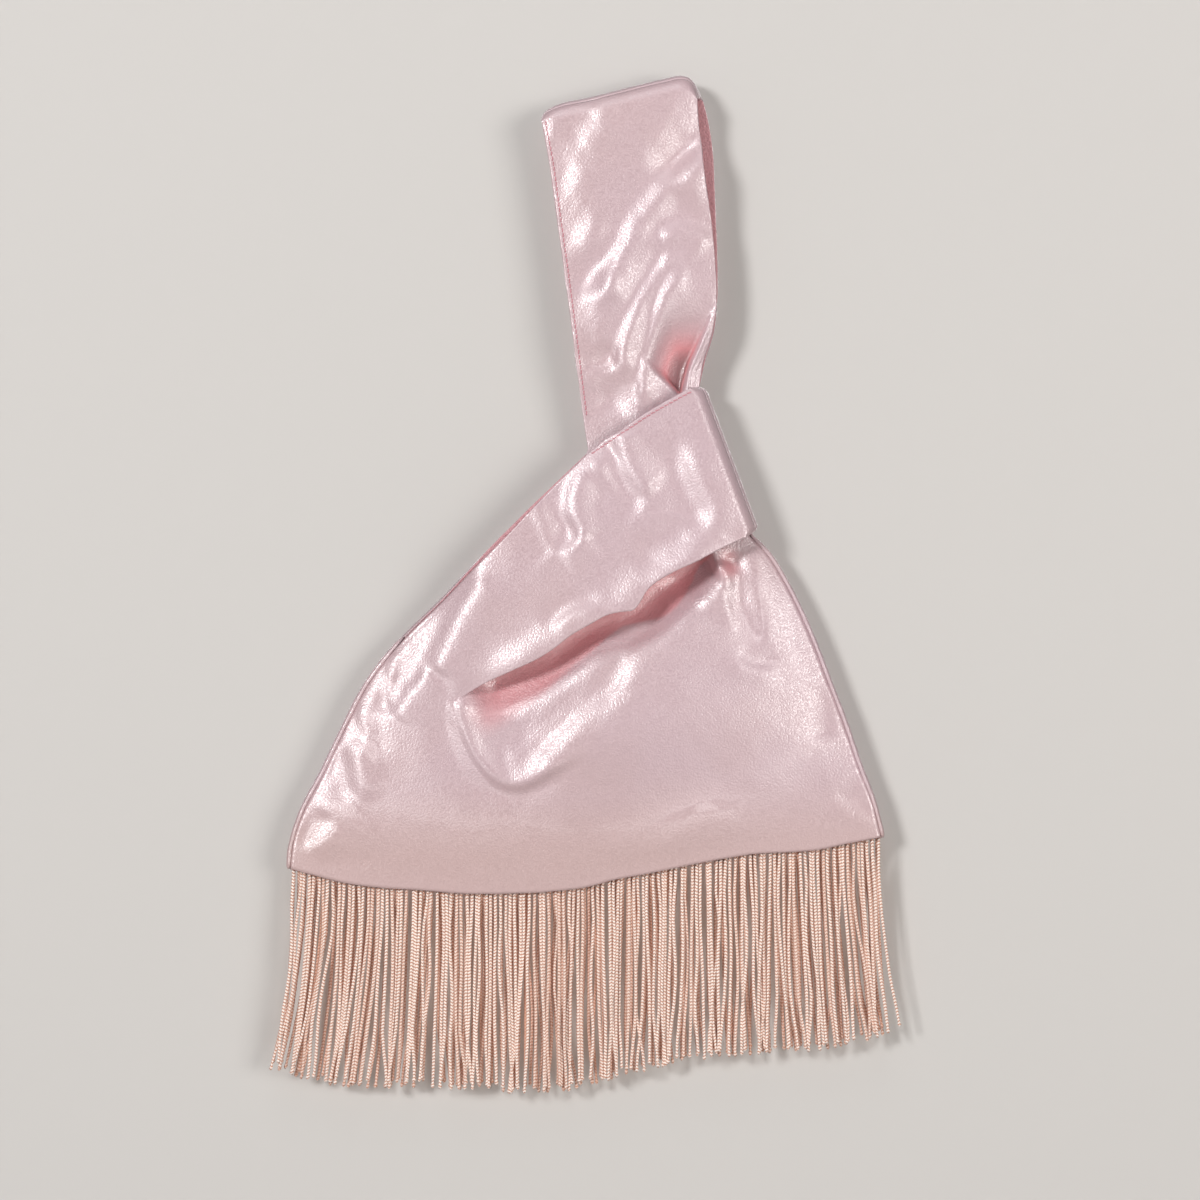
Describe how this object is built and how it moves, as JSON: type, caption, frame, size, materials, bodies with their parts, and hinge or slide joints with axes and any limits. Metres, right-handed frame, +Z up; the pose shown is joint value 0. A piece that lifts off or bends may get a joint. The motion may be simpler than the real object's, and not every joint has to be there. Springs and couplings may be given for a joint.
{
  "type": "japanese knot bag",
  "caption": "Small satin knot bag: a short loop wraps the neck of a long wrist loop and closes the pouch; a strand fringe hangs from its sloping hem.",
  "frame": {"origin": "the point inside the top of the long loop where a hook or a wrist carries the bag", "axes": "+Z up, +X towards the side with the long loop's shoulder, the bag's front faces -Y"},
  "size_m": [0.267, 0.0287, 0.4442],
  "materials": {
    "satin": "shiny satin weave",
    "lining": "satin lining",
    "interlining": "matt soft interlining",
    "fringe": "shiny chained strands",
    "thread": "sewing thread"
  },
  "bodies": {
    "handle": {"handle_back_interlining": "interlining", "handle_back_lining": "lining", "handle_back_outer": "satin", "handle_front_interlining": "interlining", "handle_front_lining": "lining", "handle_front_outer": "satin", "handle_stitches_back": "thread", "handle_stitches_front": "thread"},
    "bag": {"back_panel_interlining": "interlining", "back_panel_lining": "lining", "back_panel_outer": "satin", "fringe_tape": "fringe", "front_panel_interlining": "interlining", "front_panel_lining": "lining", "front_panel_outer": "satin", "loop_stitches_back": "thread", "loop_stitches_front": "thread", "side_seam_left": "satin", "side_seam_right": "satin"},
    "fringe_1": {"fringe_section_1": "fringe"},
    "fringe_2": {"fringe_section_2": "fringe"},
    "fringe_3": {"fringe_section_3": "fringe"},
    "fringe_4": {"fringe_section_4": "fringe"},
    "fringe_5": {"fringe_section_5": "fringe"},
    "fringe_6": {"fringe_section_6": "fringe"},
    "fringe_7": {"fringe_section_7": "fringe"},
    "fringe_8": {"fringe_section_8": "fringe"},
    "fringe_9": {"fringe_section_9": "fringe"},
    "fringe_10": {"fringe_section_10": "fringe"},
    "fringe_11": {"fringe_section_11": "fringe"},
    "fringe_12": {"fringe_section_12": "fringe"}
  },
  "joints": [
    {"name": "bag_swing", "type": "hinge", "parent": "handle", "child": "bag", "pos_m": [0.00679, 0, -0.13605], "axis": [0.8662, 0, 0.4997], "range_deg": [-90, 90]},
    {"name": "fringe_swing_6", "type": "hinge", "parent": "bag", "child": "fringe_6", "pos_m": [-0.02352, 0, -0.34842], "axis": [1, 0, 0], "range_deg": [-60, 60]},
    {"name": "fringe_swing_1", "type": "hinge", "parent": "bag", "child": "fringe_1", "pos_m": [-0.12832, 0, -0.34434], "axis": [1, 0, 0], "range_deg": [-60, 60]},
    {"name": "fringe_swing_2", "type": "hinge", "parent": "bag", "child": "fringe_2", "pos_m": [-0.10736, 0, -0.34738], "axis": [1, 0, 0], "range_deg": [-60, 60]},
    {"name": "fringe_swing_3", "type": "hinge", "parent": "bag", "child": "fringe_3", "pos_m": [-0.0864, 0, -0.34887], "axis": [1, 0, 0], "range_deg": [-60, 60]},
    {"name": "fringe_swing_4", "type": "hinge", "parent": "bag", "child": "fringe_4", "pos_m": [-0.06544, 0, -0.34922], "axis": [1, 0, 0], "range_deg": [-60, 60]},
    {"name": "fringe_swing_5", "type": "hinge", "parent": "bag", "child": "fringe_5", "pos_m": [-0.04448, 0, -0.34922], "axis": [1, 0, 0], "range_deg": [-60, 60]},
    {"name": "fringe_swing_7", "type": "hinge", "parent": "bag", "child": "fringe_7", "pos_m": [-0.00257, 0, -0.34611], "axis": [1, 0, 0], "range_deg": [-60, 60]},
    {"name": "fringe_swing_8", "type": "hinge", "parent": "bag", "child": "fringe_8", "pos_m": [0.01839, 0, -0.34194], "axis": [1, 0, 0], "range_deg": [-60, 60]},
    {"name": "fringe_swing_9", "type": "hinge", "parent": "bag", "child": "fringe_9", "pos_m": [0.03935, 0, -0.33785], "axis": [1, 0, 0], "range_deg": [-60, 60]},
    {"name": "fringe_swing_10", "type": "hinge", "parent": "bag", "child": "fringe_10", "pos_m": [0.06031, 0, -0.33441], "axis": [1, 0, 0], "range_deg": [-60, 60]},
    {"name": "fringe_swing_11", "type": "hinge", "parent": "bag", "child": "fringe_11", "pos_m": [0.08127, 0, -0.33202], "axis": [1, 0, 0], "range_deg": [-60, 60]},
    {"name": "fringe_swing_12", "type": "hinge", "parent": "bag", "child": "fringe_12", "pos_m": [0.10223, 0, -0.32933], "axis": [1, 0, 0], "range_deg": [-60, 60]}
  ],
  "couplings": [
    {"joint": "fringe_swing_1", "follows": "fringe_swing_6", "ratio": 1},
    {"joint": "fringe_swing_2", "follows": "fringe_swing_6", "ratio": 1},
    {"joint": "fringe_swing_3", "follows": "fringe_swing_6", "ratio": 1},
    {"joint": "fringe_swing_4", "follows": "fringe_swing_6", "ratio": 1},
    {"joint": "fringe_swing_5", "follows": "fringe_swing_6", "ratio": 1},
    {"joint": "fringe_swing_7", "follows": "fringe_swing_6", "ratio": 1},
    {"joint": "fringe_swing_8", "follows": "fringe_swing_6", "ratio": 1},
    {"joint": "fringe_swing_9", "follows": "fringe_swing_6", "ratio": 1},
    {"joint": "fringe_swing_10", "follows": "fringe_swing_6", "ratio": 1},
    {"joint": "fringe_swing_11", "follows": "fringe_swing_6", "ratio": 1},
    {"joint": "fringe_swing_12", "follows": "fringe_swing_6", "ratio": 1}
  ]
}
